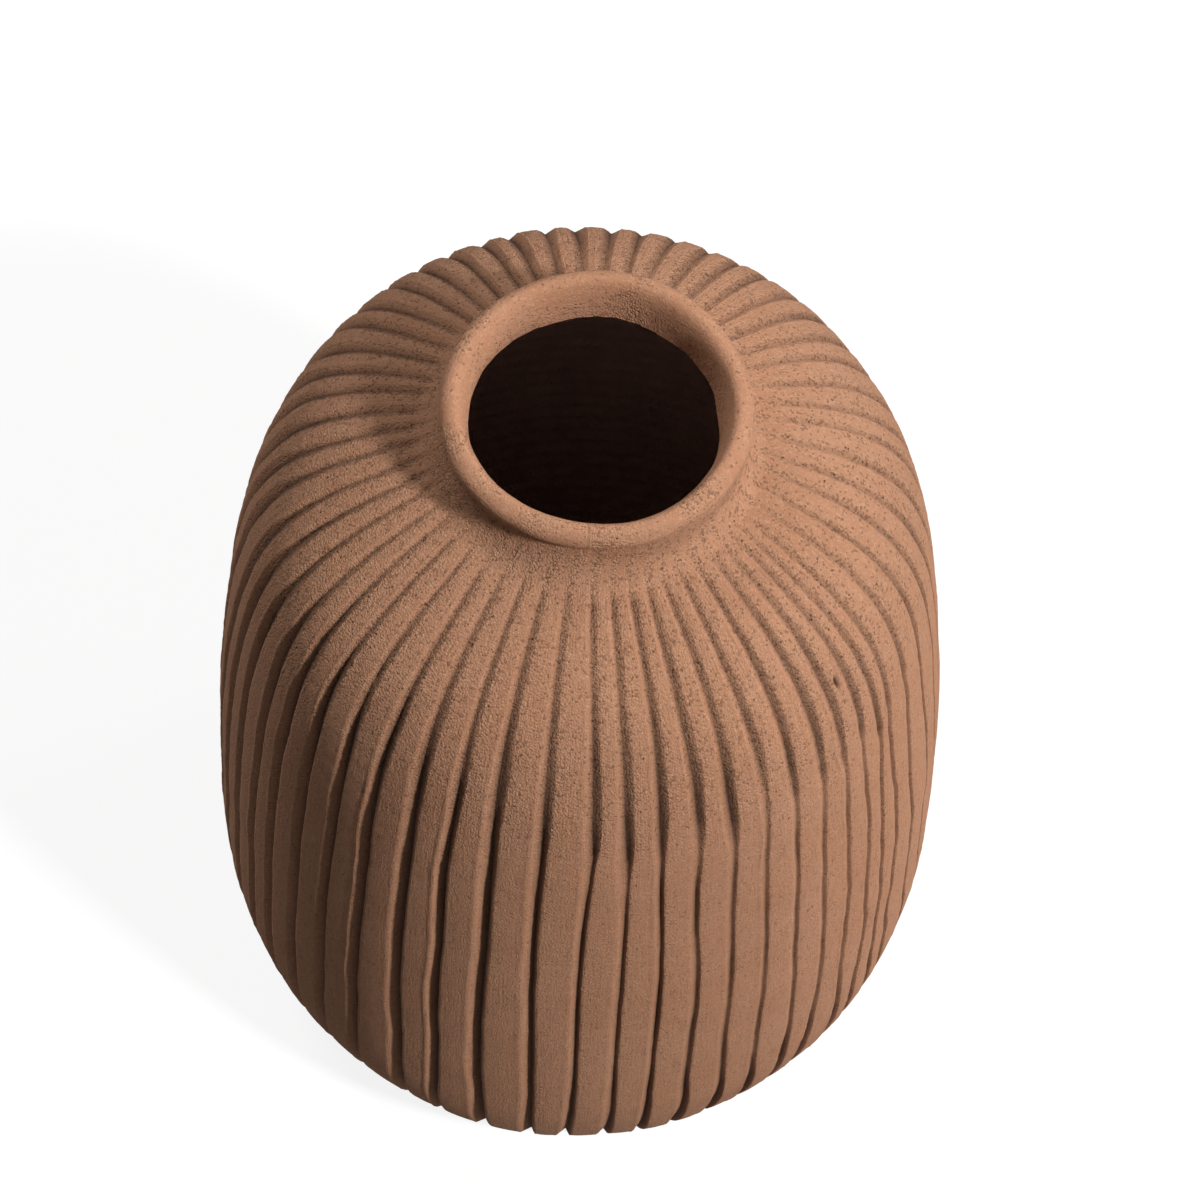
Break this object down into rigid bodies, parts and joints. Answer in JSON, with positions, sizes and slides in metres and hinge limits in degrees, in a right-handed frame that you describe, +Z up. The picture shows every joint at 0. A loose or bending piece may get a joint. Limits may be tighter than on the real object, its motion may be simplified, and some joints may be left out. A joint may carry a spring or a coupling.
{
  "type": "floor vase",
  "caption": "Barrel-shaped terracotta floor vase with carved upright flutes, a domed shoulder, a short neck and a rolled rim round its open mouth.",
  "frame": {"origin": "on the floor, under the middle of the foot", "axes": "+Z up along the vase's axis, towards the mouth; +X to the right and +Y away from the camera of the picture"},
  "size_m": [0.2999, 0.2999, 0.4038],
  "materials": {
    "carved_terracotta": "matte",
    "smoothed_terracotta": "matte"
  },
  "bodies": {
    "root": {"base_slab": "smoothed_terracotta", "body_wall": "carved_terracotta", "shoulder": "carved_terracotta", "neck_collar": "smoothed_terracotta", "rim_roll": "smoothed_terracotta"}
  },
  "joints": []
}
